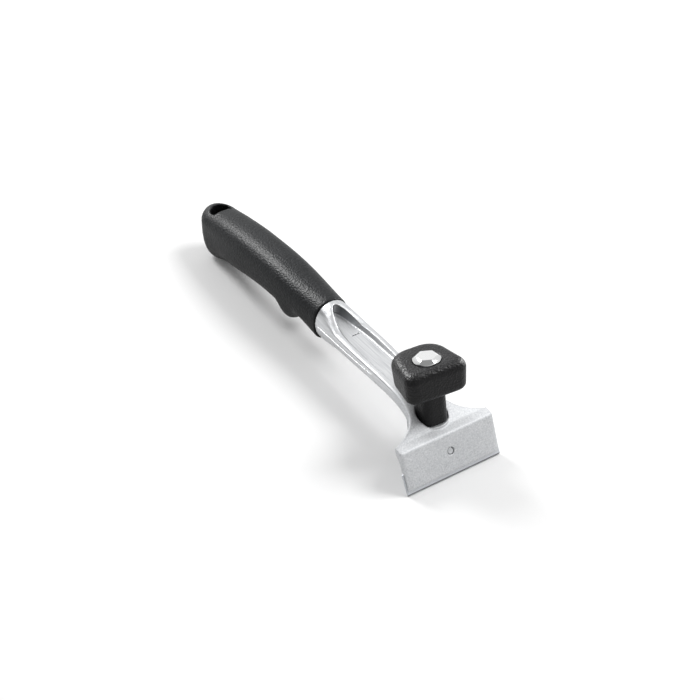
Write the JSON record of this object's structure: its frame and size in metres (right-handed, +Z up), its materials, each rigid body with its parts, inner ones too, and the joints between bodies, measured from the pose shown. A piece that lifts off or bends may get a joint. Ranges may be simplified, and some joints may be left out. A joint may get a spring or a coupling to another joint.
{
  "type": "paint scraper",
  "caption": "Two-handed paint scraper: cast head and arm with a clamped reversible carbide blade, a palm knob that tightens the clamp, and a moulded grip with a hanging hole.",
  "frame": {"origin": "middle of the footprint, on the table under the tool as it rests on its cutting edge and the heel of its grip", "axes": "+Y from the blade to the tail of the grip, +Z up, +X along the blade"},
  "size_m": [0.065, 0.2758, 0.0685],
  "materials": {
    "cast_aluminium": "satin",
    "grained_black_polypropylene": "fine grain",
    "black_nylon": "fine grain",
    "bright_chrome": "polished",
    "sintered_carbide": "ground",
    "zinc_plated_steel": "plated",
    "oiled_spring_steel": "oiled",
    "black_acetal": "smooth"
  },
  "bodies": {
    "tool_body": {"body_casting": "cast_aluminium", "handle_grip": "grained_black_polypropylene", "grip_screw": "zinc_plated_steel", "carbide_blade": "sintered_carbide", "blade_stop_pin": "zinc_plated_steel", "thrust_washer": "black_acetal"},
    "knob_and_screw": {"knob": "black_nylon", "knob_cap": "bright_chrome", "clamp_screw": "zinc_plated_steel", "screw_retaining_ring": "oiled_spring_steel", "screw_end_ring": "oiled_spring_steel"},
    "sliding_jaw": {"clamp_jaw": "cast_aluminium", "jaw_nut": "zinc_plated_steel"}
  },
  "joints": [
    {"name": "knob_turn", "type": "hinge", "parent": "tool_body", "child": "knob_and_screw", "pos_m": [0, -0.11405, 0.026], "axis": [0, 0.1736, 0.9848], "range_deg": [0, 1080]},
    {"name": "jaw_slide", "type": "slide", "parent": "tool_body", "child": "sliding_jaw", "axis": [0, -0.1736, -0.9848], "range_m": [0, 0.00375]}
  ],
  "couplings": [
    {"joint": "jaw_slide", "follows": "knob_turn", "m_per_rad": 0.00019894}
  ]
}
